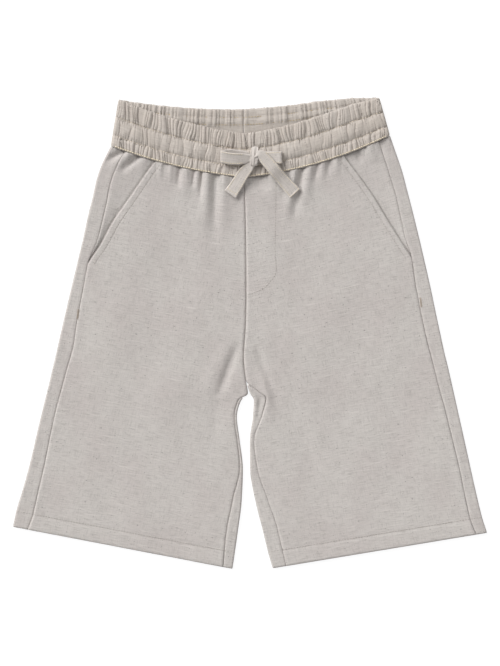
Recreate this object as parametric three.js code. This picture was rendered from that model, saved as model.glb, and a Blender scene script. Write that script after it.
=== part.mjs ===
// Children's pull-on shorts with a gathered drawstring waistband, laid flat on their back.
// Millimetres. +Z is up from the resting surface, +Y runs towards the waist and +X towards the
// wearer's left side. The origin lies under the middle of the cloth, on the resting surface.
import * as THREE from "three";

// ---- Driving dimensions ----

const CLOTH = 1.0; // one layer of the woven cloth
const HEM_EXTRA = 0.6; // the hem is turned up, so it is this much thicker
const SEAM_GAP = 0.3; // between two pieces where they are sewn together
const LAYER_GAP = 0.35; // between a layer and the one that it lies on
const BACK_LEVEL = CLOTH / 2; // middle of the layer that lies on the surface
const FRONT_LEVEL = 3.2; // middle of the layer on top
const BACK_RISE = [18.5, 11, 5, 1.5]; // how much higher the back is cut, at each of the first sections
const WAIST_LIFT = [1.1, 0.4]; // how much the top layer rises to the waistband, at the first sections
const BACK_SAG = 3.3; // dip of the back's waist edge between its ends
const SAG_SECTIONS = 6; // the dip of the waist edge dies out over this many sections
const POCKET_TUCK = 12; // the pocket facing goes on under the front by this much

const BAND_WALL = 2.0; // two layers of cloth with elastic tape between them
const BAND_GAP = 0.4; // between the waistband and the pieces that it is sewn to
const BAND_BACK_LEVEL = BAND_WALL / 2;
const BAND_FRONT_LEVEL = 4.6;
const BAND_RIPPLE = 0.4; // height of the elastic's gathers
const BAND_STEP = 3.7; // length of band between two stations on the front

const TIE_WIDTH = 11.5;
const TIE_FLARE = 13; // width of the tie at its free ends
const TIE_THICKNESS = 1.2;

const clothLook = { color: 0xc2bdb9, roughness: 0.95, metalness: 0 };
const bandLook = { color: 0xb9b0a9, roughness: 0.95, metalness: 0 };
const tieLook = { color: 0xc8bfb6, roughness: 0.95, metalness: 0 };

// ---- Tables ----

// Sections across each leg, from the waist seam down to the hem. A section runs from the fold at
// the side of the body (outX, outY) to the centre seam or the fold of the inner leg (inX, inY).
// wrapOut and wrapIn say how far the back comes round those folds onto the top layer, and mouth
// how far inside the outer fold the pocket opening is. The hem starts at HEM_ROW.
const COLUMNS = ["outX", "outY", "inX", "inY", "wrapOut", "wrapIn", "mouth"];
const RIGHT_LEG = [
  [-132.2, 176.8, -6.0, 147, 13.5, 0, 43.8],
  [-139.7, 162, -5.0, 131, 13.5, 0, 41.5],
  [-145.5, 146, -4.4, 114, 13.5, 0, 37.5],
  [-149.3, 129, -4.0, 97, 14, 0, 31],
  [-153.9, 110.7, -3.8, 78, 14.5, 0, 24.4],
  [-158.3, 90, -3.6, 57, 13.5, 0, 18.5],
  [-163.6, 68, -3.5, 34, 10, 0, 10],
  [-170.3, 40, -4.2, 6, 11.5, 0, 0],
  [-176.6, 13, -6.0, -22, 12.6, 0, 0],
  [-181.9, -10, -4.0, -44, 14.5, 0, 0],
  [-184.8, -23, -2.0, -57, 14, 0, 0],
  [-186.6, -30.3, -8.6, -64.5, 13.5, 2.4, 0],
  [-190, -45, -12.4, -80, 13, 2.4, 0],
  [-195.6, -67.5, -9.6, -103, 12.5, 2.4, 0],
  [-201.9, -93.6, -6.7, -130, 13, 3, 0],
  [-208.6, -122.6, -7.9, -160, 13.8, 8.5, 0],
  [-215.8, -148.7, -11.3, -187, 15, 10.5, 0],
  [-221.9, -169, -14.3, -208.2, 16.5, 10, 0],
  [-225, -183.8, -16.6, -223.7, 14.5, 9, 0],
];
const LEFT_LEG = [
  [133, 187, -6.0, 147, 11, 0, 46],
  [138.3, 171.5, -5.0, 131, 11.5, 0, 41.5],
  [144.3, 154, -4.4, 114, 12, 0, 36.5],
  [148.8, 137, -4.0, 97, 11.5, 0, 31],
  [154, 117, -3.8, 78, 12, 0, 25.5],
  [159.2, 96, -3.6, 57, 13, 0, 19],
  [164.4, 74, -3.5, 34, 11.3, 0, 11.3],
  [171.2, 44, -4.2, 6, 13.4, 0, 0],
  [177.2, 15.4, -6.0, -22, 13.8, 0, 0],
  [181.8, -6, -4.0, -44, 13.5, 0, 0],
  [185, -20.5, 0, -57, 13, 8, 0],
  [187, -28.3, 3.6, -64.5, 13, 12, 0],
  [190.7, -44.3, 2.7, -80, 12.8, 9, 0],
  [196, -68, -0.2, -103, 11.6, 4, 0],
  [202.2, -95.6, 0.1, -130, 11, 7, 0],
  [209, -126.5, 5.2, -160, 10.4, 11.8, 0],
  [215.2, -154, 12, -187, 10.9, 14, 0],
  [220.2, -174.6, 17, -207.8, 11.3, 13.9, 0],
  [225, -189.5, 21.5, -223.2, 10.5, 13, 0],
];
const WAIST_SAG = { right: 4.5, left: 7 }; // dip of the front's waist edge between its ends
const POCKET_ROWS = 7; // the pocket opening spans this many sections
const HEM_ROW = 17;

// The largest folds of the top layer, as ridges from a head to a tail. A ridge that is open at its
// head runs into the seam there at full height; the others rise and fall along their length.
const FOLDS = [
  { x: -62, y: 152, toX: -66, toY: 128, width: 4.5, height: 1.1, open: true },
  { x: -49, y: 150, toX: -51, toY: 122, width: 4.5, height: 1.3, open: true },
  { x: -40, y: 148, toX: -43, toY: 92, width: 6, height: 1.6, open: true },
  { x: -24, y: 147, toX: -27, toY: 84, width: 7, height: 1.3, open: true },
  { x: 24, y: 148, toX: 22, toY: 112, width: 8, height: 1.2, open: true },
  { x: 43, y: 152, toX: 32, toY: 100, width: 6, height: 1.6, open: true },
  { x: 57, y: 156, toX: 50, toY: 118, width: 5, height: 1.4, open: true },
  { x: 73, y: 162, toX: 71, toY: 136, width: 5, height: 1.0, open: true },
  { x: -18, y: -12, toX: -42, toY: -66, width: 7, height: 1.5, open: false },
  { x: 8, y: -12, toX: 21, toY: -82, width: 4.5, height: 2.0, open: false },
];

// Height of the waistband at places along it, on the front and on the back.
const BAND_HEIGHTS = [
  { x: -132.2, front: 44.8, back: 44.8 },
  { x: -75, front: 44, back: 46.2 },
  { x: -6, front: 42.2, back: 47 },
  { x: 70, front: 43.8, back: 46 },
  { x: 105, front: 42.5, back: 42.5 },
  { x: 133, front: 36.4, back: 36.4 },
];
const BAND_LEAN = { right: 0.056, left: 0.078 }; // the sides close in towards the top edge

// Rows up the waistband as shares of its height, with how far the cloth puffs out there. The two
// inner rows without a puff are the stitch lines on each side of the drawstring's channel.
const BAND_ROWS = [
  { up: 0, puff: 0 },
  { up: 0.12, puff: 0.6 },
  { up: 0.245, puff: 0 },
  { up: 0.44, puff: 1.3 },
  { up: 0.63, puff: 0 },
  { up: 0.81, puff: 0.7 },
  { up: 1, puff: 0 },
];
const GATHERS = [
  { every: 9.3, share: 1, from: 0 },
  { every: 14.1, share: 0.6, from: 2 },
];

// The bow. A loop leaves the knot low down, turns over at its tip and comes back above itself.
const KNOT = { x: 4.2, y: 167, halfWidth: 4.2, halfHeight: 9, low: 8, high: 14 };
const LOOP_RIGHT = [
  [-0.9, 166, 10.2],
  [-8, 167, 10.2],
  [-18, 168, 10.2],
  [-25.5, 167.2, 10.3],
  [-27.6, 166.6, 11.7],
  [-25.5, 166, 13.1],
  [-18, 164.6, 13.2],
  [-8, 164.4, 12.8],
  [-0.9, 165, 12],
];
const LOOP_LEFT = [
  [8.8, 166.5, 9],
  [15, 166.3, 8.8],
  [22, 166.2, 8.8],
  [28, 166.1, 8.9],
  [29.6, 166, 9.9],
  [28, 165.8, 10.9],
  [22, 165.6, 10.9],
  [15, 165.5, 10.8],
  [8.8, 165.4, 10.7],
];
const TAIL_RIGHT = [
  [-2.4, 156.6, 9.1],
  [-6.5, 150.5, 7.8],
  [-12, 141.5, 7],
  [-18.8, 131.4, 6.6],
];
const TAIL_LEFT = [
  [12.8, 166, 13.2],
  [16, 162, 13.2],
  [23, 154, 12.6],
  [31, 145, 9.4],
  [42.4, 132.6, 7],
];

// Each stretch of the tie, with the direction that its width lies along.
const TIES = [
  { name: "drawstring_loop_right", route: LOOP_RIGHT, side: [0, 0.94, 0.34], endWidth: TIE_WIDTH, count: 22 },
  { name: "drawstring_loop_left", route: LOOP_LEFT, side: [0, 1, 0], endWidth: TIE_WIDTH, count: 20 },
  { name: "drawstring_tail_right", route: TAIL_RIGHT, side: [0.83, -0.56, 0], endWidth: TIE_FLARE, count: 8 },
  { name: "drawstring_tail_left", route: TAIL_LEFT, side: [0.7, 0.7, 0], endWidth: TIE_FLARE, count: 12 },
];

// ---- Walls of cloth ----

const lerp = THREE.MathUtils.lerp;

// A closed wall from rows of stations. A station has the point in the middle of the cloth, the
// unit vector to its outer face, and how much cloth lies outside and inside of that point.
function wallGeometry(rows) {
  const columns = rows[0].length;
  const stations = rows.flat();
  const faces = [
    stations.map((s) => s.at.clone().addScaledVector(s.out, s.outside)),
    stations.map((s) => s.at.clone().addScaledVector(s.out, -s.inside)),
  ];
  const inner = stations.length;
  const index = [];
  const quad = (a, b, c, d) => index.push(a, b, c, a, c, d);
  for (let i = 0; i + 1 < rows.length; i++) {
    for (let j = 0; j + 1 < columns; j++) {
      const a = i * columns + j;
      const b = a + columns;
      quad(a, b, b + 1, a + 1);
      quad(inner + a, inner + a + 1, inner + b + 1, inner + b);
    }
    const first = i * columns;
    const last = first + columns - 1;
    quad(first, inner + first, inner + first + columns, first + columns);
    quad(last, last + columns, inner + last + columns, inner + last);
  }
  for (let j = 0; j + 1 < columns; j++) {
    const end = (rows.length - 1) * columns + j;
    quad(j, j + 1, inner + j + 1, inner + j);
    quad(end, inner + end, inner + end + 1, end + 1);
  }
  return facingOut(faces.flat(), index);
}

// A closed body with its faces turned outwards, whichever way its rows ran.
function facingOut(points, index) {
  const volume = new THREE.Vector3();
  let six = 0;
  for (let i = 0; i < index.length; i += 3) {
    const [a, b, c] = [points[index[i]], points[index[i + 1]], points[index[i + 2]]];
    six += volume.crossVectors(b, c).dot(a);
  }
  const turned = six < 0 ? index.toReversed() : index;
  return new THREE.BufferGeometry().setFromPoints(points).setIndex(turned);
}

function addPiece(name, geometry, look) {
  geometry.computeVertexNormals();
  const mesh = new THREE.Mesh(geometry, new THREE.MeshStandardMaterial(look));
  mesh.name = name;
  shorts.add(mesh);
}

// ---- Sections of the legs ----

function sectionsOf(table, side) {
  return table.map((row, i) => {
    const section = Object.fromEntries(COLUMNS.map((column, k) => [column, row[k]]));
    const fade = Math.max(0, 1 - i / SAG_SECTIONS);
    section.sag = WAIST_SAG[side] * fade;
    section.backSag = BACK_SAG * fade;
    section.rise = BACK_RISE[i] ?? 0;
    section.top = FRONT_LEVEL + (WAIST_LIFT[i] ?? 0);
    section.inside = CLOTH / 2 + (i >= HEM_ROW ? HEM_EXTRA : 0);
    return section;
  });
}

// Plan of a section at a share of its length, from the outer fold at 0. The cut goes from the
// front's at under = 0, on top, to the back's at under = 1, beneath.
function planOf(section, share, under) {
  const dip = lerp(section.sag, section.backSag, under) * 4 * share * (1 - share);
  const rise = section.rise * share * under;
  return {
    x: lerp(section.outX, section.inX, share),
    y: lerp(section.outY, section.inY, share) + rise - dip,
  };
}

function lengthOf(section) {
  return Math.hypot(section.inX - section.outX, section.inY - section.outY);
}

// A station at a distance along a section, with its outward vector tilted in the section's plane.
function station(section, distance, z, tilt) {
  const { x, y } = planOf(section, distance / lengthOf(section), (1 - tilt.up) / 2);
  const inwards = new THREE.Vector3(section.inX - section.outX, section.inY - section.outY, 0);
  const out = inwards.normalize().multiplyScalar(tilt.along);
  out.z = tilt.up;
  return { at: new THREE.Vector3(x, y, z), out, outside: CLOTH / 2, inside: section.inside };
}

const UP = { along: 0, up: 1 };
const DOWN = { along: 0, up: -1 };
const ARC_STEPS = 4;
const WRAP_STEPS = 2;
const UNDER_STEPS = 6;
const CURL = 12; // strip beside the centre seam that becomes the fold of the inner leg lower down

function steps(from, to, count) {
  return Array.from({ length: count + 1 }, (_, i) => lerp(from, to, i / count));
}

// The back lies on the surface, turns up round the outer fold and ends on top of the front layer.
// Below the crotch it does the same round the fold of the inner leg.
function backRow(section) {
  const radius = (section.top - BACK_LEVEL) / 2;
  const middle = BACK_LEVEL + radius;
  const turn = radius + CLOTH / 2;
  const length = lengthOf(section);
  const wrap = (edge, start) =>
    steps(edge, start, WRAP_STEPS).map((d) => station(section, d, section.top, UP));
  const arc = (centre, sign) =>
    steps(0, Math.PI, ARC_STEPS).map((angle) => {
      const tilt = { along: sign * Math.sin(angle), up: Math.cos(angle) };
      const z = middle + radius * tilt.up;
      return station(section, centre + radius * tilt.along, z, tilt);
    });
  const under = (from, to, count) =>
    steps(from, to, count).map((d) => station(section, d, BACK_LEVEL, DOWN));

  const outer = [...wrap(section.wrapOut - SEAM_GAP / 2, turn).slice(0, -1), ...arc(turn, -1)];
  const innerWrap = wrap(length - section.wrapIn + SEAM_GAP / 2, length - turn);
  const inner = section.wrapIn
    ? [...innerWrap.slice(0, -1), ...arc(length - turn, 1)].reverse()
    : under(length - CURL, length - SEAM_GAP / 2, ARC_STEPS + WRAP_STEPS);
  const flatEnd = section.wrapIn ? length - turn : length - CURL;
  return [...outer.slice(0, -1), ...under(turn, flatEnd, UNDER_STEPS).slice(0, -1), ...inner];
}

// Height that the folds add to the top layer at a point.
function foldHeight(x, y) {
  let height = 0;
  for (const fold of FOLDS) {
    const [dx, dy] = [fold.toX - fold.x, fold.toY - fold.y];
    const share = ((x - fold.x) * dx + (y - fold.y) * dy) / (dx * dx + dy * dy);
    const t = THREE.MathUtils.clamp(share, 0, 1);
    const away = Math.hypot(x - fold.x - t * dx, y - fold.y - t * dy) / fold.width;
    const profile = fold.open ? Math.cos((Math.PI * t) / 2) : Math.sin(Math.PI * t);
    height += fold.height * profile * Math.exp(-away * away);
  }
  return height;
}

const FRONT_COLUMNS = 22;

function frontRow(section) {
  const start = Math.max(section.mouth, section.wrapOut) + SEAM_GAP / 2;
  const end = lengthOf(section) - section.wrapIn - SEAM_GAP / 2;
  return steps(start, end, FRONT_COLUMNS).map((distance) => {
    const made = station(section, distance, section.top, UP);
    made.at.z += foldHeight(made.at.x, made.at.y);
    return made;
  });
}

const FACING_COLUMNS = 7;

// The facing starts level with the back's edge at the side seam and dives under the pocket mouth.
function facingRow(section) {
  const start = section.wrapOut + SEAM_GAP / 2;
  const under = section.top - CLOTH - LAYER_GAP;
  const dive = Math.max(section.mouth - start - CLOTH - LAYER_GAP, SEAM_GAP);
  const closed = section.mouth <= section.wrapOut;
  return steps(start, section.mouth + POCKET_TUCK, FACING_COLUMNS).map((distance) => {
    const down = closed ? 1 : THREE.MathUtils.smoothstep(distance - start, 0, dive);
    return station(section, distance, lerp(section.top, under, down), UP, false);
  });
}

// ---- Waistband ----

const turnRadius = (BAND_FRONT_LEVEL - BAND_BACK_LEVEL) / 2;
const bandTurn = turnRadius + BAND_WALL / 2;

// The seam that the waistband is sewn to, at a place across the body.
function waistEdge(x, under) {
  const section = x < rightLeg[0].inX ? rightLeg[0] : leftLeg[0];
  const share = (x - section.outX) / (section.inX - section.outX);
  return planOf(section, THREE.MathUtils.clamp(share, 0, 1), under).y + BAND_GAP;
}

function bandHeight(x, under) {
  const i = Math.max(1, BAND_HEIGHTS.findIndex((row) => row.x >= x));
  const [a, b] = [BAND_HEIGHTS[i - 1], BAND_HEIGHTS[i]];
  const share = (x - a.x) / (b.x - a.x);
  return lerp(lerp(a.front, b.front, share), lerp(a.back, b.back, share), under);
}

function gatherHeight(x) {
  let height = 0;
  for (const gather of GATHERS) {
    height += gather.share * Math.sin((2 * Math.PI * (x - gather.from)) / gather.every);
  }
  return BAND_RIPPLE * height;
}

// Places round the flattened loop, from the centre back seam round to the same seam again.
function bandPlaces() {
  const seam = rightLeg[0].inX;
  const [low, high] = [rightLeg[0].outX + bandTurn, leftLeg[0].outX - bandTurn];
  const flat = (from, to, count, z, up) => steps(from, to, count).map((x) => ({ x, z, along: 0, up }));
  const arc = (centre, sign, from, to) =>
    steps(from, to, ARC_STEPS).map((angle) => {
      const [along, up] = [sign * Math.sin(angle), Math.cos(angle)];
      return { x: centre + turnRadius * along, z: BAND_BACK_LEVEL + turnRadius * (1 + up), along, up };
    });
  const count = Math.round((high - low) / BAND_STEP);
  return [
    ...flat(seam - SEAM_GAP / 2, low, 8, BAND_BACK_LEVEL, -1).slice(0, -1),
    ...arc(low, -1, Math.PI, 0).slice(0, -1),
    ...flat(low, high, count, BAND_FRONT_LEVEL, 1).slice(0, -1),
    ...arc(high, 1, 0, Math.PI).slice(0, -1),
    ...flat(high, seam + SEAM_GAP / 2, 8, BAND_BACK_LEVEL, -1),
  ];
}

function bandStation(place, row) {
  const under = (1 - place.up) / 2;
  const lean = place.x < 0 ? BAND_LEAN.right : BAND_LEAN.left;
  const y = waistEdge(place.x, under) + row.up * bandHeight(place.x, under);
  const at = new THREE.Vector3(place.x * (1 - lean * row.up), y, place.z);
  if (under === 0) at.z += row.puff + gatherHeight(place.x);
  const out = new THREE.Vector3(place.along, 0, place.up);
  return { at, out, outside: BAND_WALL / 2, inside: BAND_WALL / 2 };
}

// ---- Bow ----

// A flat tie swept along a curve through its points. Its width lies along the side vector.
function tieGeometry(points, side, endWidth, count) {
  const curve = new THREE.CatmullRomCurve3(points.map((p) => new THREE.Vector3(...p)));
  const rings = steps(0, 1, count).map((share) => {
    const tangent = curve.getTangentAt(share);
    const across = side.clone().addScaledVector(tangent, -side.dot(tangent)).normalize();
    const up = tangent.clone().cross(across);
    const half = lerp(TIE_WIDTH, endWidth, share) / 2;
    return tieOutline(half).map(([u, v]) =>
      curve.getPointAt(share).addScaledVector(across, u).addScaledVector(up, v),
    );
  });
  return tubeGeometry(rings);
}

// Half the outline of a tie's section, mirrored to eight points.
function tieOutline(half) {
  const [edge, flat] = [TIE_THICKNESS / 4, TIE_THICKNESS / 2];
  const quarter = [
    [half, edge],
    [half - flat, flat],
  ];
  const top = [...quarter, ...quarter.map(([u, v]) => [-u, v]).reverse()];
  return [...top, ...top.map(([u, v]) => [-u, -v])];
}

// A closed tube through rings of points, with a flat cap on each end.
function tubeGeometry(rings) {
  const sides = rings[0].length;
  const index = [];
  for (let i = 0; i + 1 < rings.length; i++) {
    for (let j = 0; j < sides; j++) {
      const a = i * sides + j;
      const b = i * sides + ((j + 1) % sides);
      index.push(a, b, b + sides, a, b + sides, a + sides);
    }
  }
  const last = (rings.length - 1) * sides;
  for (let j = 1; j + 1 < sides; j++) {
    index.push(0, j + 1, j, last, last + j, last + j + 1);
  }
  return facingOut(rings.flat(), index);
}

// The knot is a rounded bundle, a little narrower at its upper and lower ends.
function knotGeometry() {
  const sides = 12;
  const height = KNOT.high - KNOT.low;
  const rings = steps(-1, 1, 8).map((t) => {
    const size = Math.sqrt(1 - 0.75 * t * t);
    return steps(0, 2 * Math.PI, sides)
      .slice(0, -1)
      .map((angle) => {
        const x = KNOT.x + KNOT.halfWidth * (1 - 0.12 * t * t) * Math.cos(angle);
        const z = KNOT.low + (height / 2) * (1 + size * Math.sin(angle));
        return new THREE.Vector3(x, KNOT.y + t * KNOT.halfHeight, z);
      });
  });
  return tubeGeometry(rings);
}

// ---- Assembly ----

const shorts = new THREE.Group();
const rightLeg = sectionsOf(RIGHT_LEG, "right");
const leftLeg = sectionsOf(LEFT_LEG, "left");

for (const [side, sections] of [
  ["right", rightLeg],
  ["left", leftLeg],
]) {
  const pocket = sections.slice(0, POCKET_ROWS);
  addPiece(`back_${side}`, wallGeometry(sections.map(backRow)), clothLook);
  addPiece(`front_${side}`, wallGeometry(sections.map(frontRow)), clothLook);
  addPiece(`pocket_facing_${side}`, wallGeometry(pocket.map(facingRow)), clothLook);
}

const places = bandPlaces();
const bandRows = BAND_ROWS.map((row) => places.map((place) => bandStation(place, row)));
addPiece("waistband", wallGeometry(bandRows), bandLook);

for (const { name, route, side, endWidth, count } of TIES) {
  addPiece(name, tieGeometry(route, new THREE.Vector3(...side), endWidth, count), tieLook);
}
addPiece("drawstring_knot", knotGeometry(), tieLook);

export default shorts;
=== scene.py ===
"""Children's drawstring shorts in heathered linen and cotton, laid flat on a white floor."""

import bpy
import math
import numpy as np
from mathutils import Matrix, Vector
from mathutils.kdtree import KDTree


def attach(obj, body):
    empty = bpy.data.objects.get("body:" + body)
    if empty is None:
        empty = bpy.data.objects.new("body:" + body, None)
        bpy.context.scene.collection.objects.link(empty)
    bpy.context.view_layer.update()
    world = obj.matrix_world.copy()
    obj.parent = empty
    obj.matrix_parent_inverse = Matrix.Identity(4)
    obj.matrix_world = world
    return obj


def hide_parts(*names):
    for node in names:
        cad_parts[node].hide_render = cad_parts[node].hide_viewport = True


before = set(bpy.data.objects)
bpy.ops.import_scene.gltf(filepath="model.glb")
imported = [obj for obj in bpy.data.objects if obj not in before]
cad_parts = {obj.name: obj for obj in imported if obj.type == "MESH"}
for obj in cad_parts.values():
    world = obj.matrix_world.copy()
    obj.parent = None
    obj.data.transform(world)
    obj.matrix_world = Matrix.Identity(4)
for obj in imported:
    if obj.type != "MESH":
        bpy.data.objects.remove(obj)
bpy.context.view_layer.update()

MM = 0.001  # the tables below are in millimetres, and every mesh is in metres

# ---- Camera ----

CAMERA_HEIGHT = 2.0
SEEN_HEIGHT = 0.6327  # what the picture's longer side takes in at the cloth
SENSOR = 36.0

camera_data = bpy.data.cameras.new("camera")
camera_data.sensor_width = SENSOR
camera_data.lens = SENSOR * CAMERA_HEIGHT / SEEN_HEIGHT
camera = bpy.data.objects.new("camera", camera_data)
camera.location = (0, 0, CAMERA_HEIGHT)
bpy.context.collection.objects.link(camera)
bpy.context.scene.camera = camera
bpy.context.scene.view_settings.view_transform = "Standard"

# ---- Sizes, in millimetres ----

CLOTH = 0.8
HEM_EXTRA = 0.6
SEAM_GAP = 0.12
BACK_LEVEL = 0.42
FRONT_LEVEL = 3.2
BACK_RISE = [18.5, 11, 5, 1.5]
WAIST_LIFT = [1.1, 0.4]
BACK_SAG = 3.3
WAIST_SAG = {"right": 4.5, "left": 7.0}
SAG_SECTIONS = 6
POCKET_TUCK = 12
POCKET_ROWS = 7
HEM_ROW = 17
BAND_WALL = 1.9
BAND_GAP = 0.1
BAND_BACK_LEVEL = 1.0
BAND_FRONT_LEVEL = 4.6
TIE_THICKNESS = 1.3
FACING_DROP = 1.35  # how far the pocket facing lies under the front at the opening
POCKET_STITCH = 5.6  # from the slanted opening to its row of stitches
RELIEF_LIMITS = (-2.6, 2.4)  # how far creases may move the outer strips
LOWEST_FRONT = 1.5  # the front's creases go no lower, so that they clear the back
RIM = 0.45  # share of the cloth's thickness that is left at a panel's rim

# Sections across each leg from the waist seam to the hem: the fold at the side, the centre seam or
# inner fold, how far the back comes round those folds, and where the pocket opening is.
COLUMNS = ["outX", "outY", "inX", "inY", "wrapOut", "wrapIn", "mouth"]
LEGS = {
    "right": [
        [-132.2, 176.8, -6.0, 147, 13.5, 0, 43.8],
        [-139.7, 162, -5.0, 131, 13.5, 0, 41.5],
        [-145.5, 146, -4.4, 114, 13.5, 0, 37.5],
        [-149.3, 129, -4.0, 97, 14, 0, 31],
        [-153.9, 110.7, -3.8, 78, 14.5, 0, 24.4],
        [-158.3, 90, -3.6, 57, 13.5, 0, 18.5],
        [-163.6, 68, -3.5, 34, 10, 0, 10],
        [-170.3, 40, -4.2, 6, 11.5, 0, 0],
        [-176.6, 13, -6.0, -22, 12.6, 0, 0],
        [-181.9, -10, -4.0, -44, 14.5, 0, 0],
        [-184.8, -23, -2.0, -57, 14, 0, 0],
        [-186.6, -30.3, -8.6, -64.5, 13.5, 2.4, 0],
        [-190, -45, -12.4, -80, 13, 2.4, 0],
        [-195.6, -67.5, -9.6, -103, 12.5, 2.4, 0],
        [-201.9, -93.6, -6.7, -130, 13, 3, 0],
        [-208.6, -122.6, -7.9, -160, 13.8, 8.5, 0],
        [-215.8, -148.7, -11.3, -187, 15, 10.5, 0],
        [-221.9, -169, -14.3, -208.2, 16.5, 10, 0],
        [-225, -183.8, -16.6, -223.7, 14.5, 9, 0],
    ],
    "left": [
        [133, 187, -6.0, 147, 11, 0, 46],
        [138.3, 171.5, -5.0, 131, 11.5, 0, 41.5],
        [144.3, 154, -4.4, 114, 12, 0, 36.5],
        [148.8, 137, -4.0, 97, 11.5, 0, 31],
        [154, 117, -3.8, 78, 12, 0, 25.5],
        [159.2, 96, -3.6, 57, 13, 0, 19],
        [164.4, 74, -3.5, 34, 11.3, 0, 11.3],
        [171.2, 44, -4.2, 6, 13.4, 0, 0],
        [177.2, 15.4, -6.0, -22, 13.8, 0, 0],
        [181.8, -6, -4.0, -44, 13.5, 0, 0],
        [185, -20.5, 0, -57, 13, 8, 0],
        [187, -28.3, 3.6, -64.5, 13, 12, 0],
        [190.7, -44.3, 2.7, -80, 12.8, 9, 0],
        [196, -68, -0.2, -103, 11.6, 4, 0],
        [202.2, -95.6, 0.1, -130, 11, 7, 0],
        [209, -126.5, 5.2, -160, 10.4, 11.8, 0],
        [215.2, -154, 12, -187, 10.9, 14, 0],
        [220.2, -174.6, 17, -207.8, 11.3, 13.9, 0],
        [225, -189.5, 21.5, -223.2, 10.5, 13, 0],
    ],
}

# Creases of the top layer, from a head to a tail: half width, height (a trough is negative) and
# whether the crease starts at full height at its head or rises and falls along its length.
CREASES = [
    # x, y, toX, toY, width, height, open
    (-118, 174, -139, 161, 2.2, -2.8, True),
    (-112, 172, -129, 158, 4.0, 1.2, True),
    (-104, 170, -124, 152, 2.2, -2.8, True),
    (-98, 167, -108, 150, 4.0, 1.0, True),
    (-122, 118, -127, 108, 5.0, -0.7, False),
    (-84, 161, -86, 146, 2.0, 0.8, True),
    (-75, 159, -76, 140, 2.4, 0.9, True),
    (-67, 157, -68, 136, 1.6, -1.6, True),
    (-60, 155, -62, 128, 3.4, 1.2, True),
    (-53, 153, -54, 136, 1.4, -1.2, True),
    (-50, 152, -51, 134, 2.0, 1.0, True),
    (-46, 152, -47, 125, 1.4, -1.5, True),
    (-40, 151, -43, 96, 3.8, 1.5, True),
    (-33, 149, -34, 78, 3.6, -1.8, True),
    (-24, 148, -27, 96, 4.5, 1.1, True),
    (-12, 146, -13, 112, 3.4, -0.5, True),
    (8, 147, 9, 134, 9.0, -1.2, True),
    (24, 149, 23, 116, 7.0, 1.0, True),
    (36, 152, 33, 122, 3.0, -0.8, True),
    (42, 153, 34, 102, 3.6, 1.5, True),
    (49, 155, 40, 104, 2.8, -2.1, True),
    (57, 158, 51, 118, 3.4, 1.3, True),
    (64, 160, 61, 142, 1.6, -1.1, True),
    (69, 162, 68, 140, 2.4, 0.9, True),
    (75, 164, 74, 148, 1.4, -1.0, True),
    (82, 166, 82, 146, 2.6, 0.8, True),
    (101, 174, 106, 160, 2.2, -1.2, True),
    (114, 179, 118, 160, 3.2, 1.1, True),
    (124, 183, 128, 166, 1.8, -0.9, True),
    (-10, -6, -31, -62, 4.2, -1.5, False),
    (-19, -8, -46, -64, 8.5, 0.7, False),
    (-32, -60, -34, -108, 7.0, -0.7, False),
    (5, -8, 20, -58, 4.0, -1.2, False),
    (9, -18, 21, -86, 4.2, 1.1, False),
    (24, -66, 72, -140, 12, -0.9, False),
    (-60, -20, -96, -96, 22, 0.8, False),
    (-120, 40, -150, -60, 24, 0.6, False),
    (90, 60, 60, -30, 24, 0.6, False),
    (110, -40, 150, -150, 20, -0.6, False),
    (-80, 90, -60, 20, 22, -0.6, False),
    (-150, -110, -120, -190, 16, -0.5, False),
]

UNDULATION_SEED = 7
UNDULATION = ((70, 0.26), (41, 0.14), (22, 0.07))  # length and height of the soft waves
CREASE_HEIGHT = 1.45  # how far the creases stand against the heights in the table

# Height of the waistband along it, on the front and on the back.
BAND_HEIGHTS = [
    (-132.2, 44.8, 44.8),
    (-75, 44, 46.2),
    (-6, 42.2, 47),
    (70, 43.8, 46),
    (105, 42.5, 42.5),
    (133, 36.4, 36.4),
]
BAND_LEAN = {"right": 0.056, "left": 0.078}
GATHER = 3.5  # pitch of the elastic's fine gathers
BACK_GATHER = 5.0  # the same on the inside of the back
INNER_ROWS = (0.83, 0.68)  # ochre stitch rows on that inside, as shares of the height
BAND_TALL = 42.0  # usual height of the band, to turn shares into millimetres
BACK_TALL = 47.0
CHANNEL = (0.245, 0.63)  # the stitch lines on each side of the drawstring, as shares of the height

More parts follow.
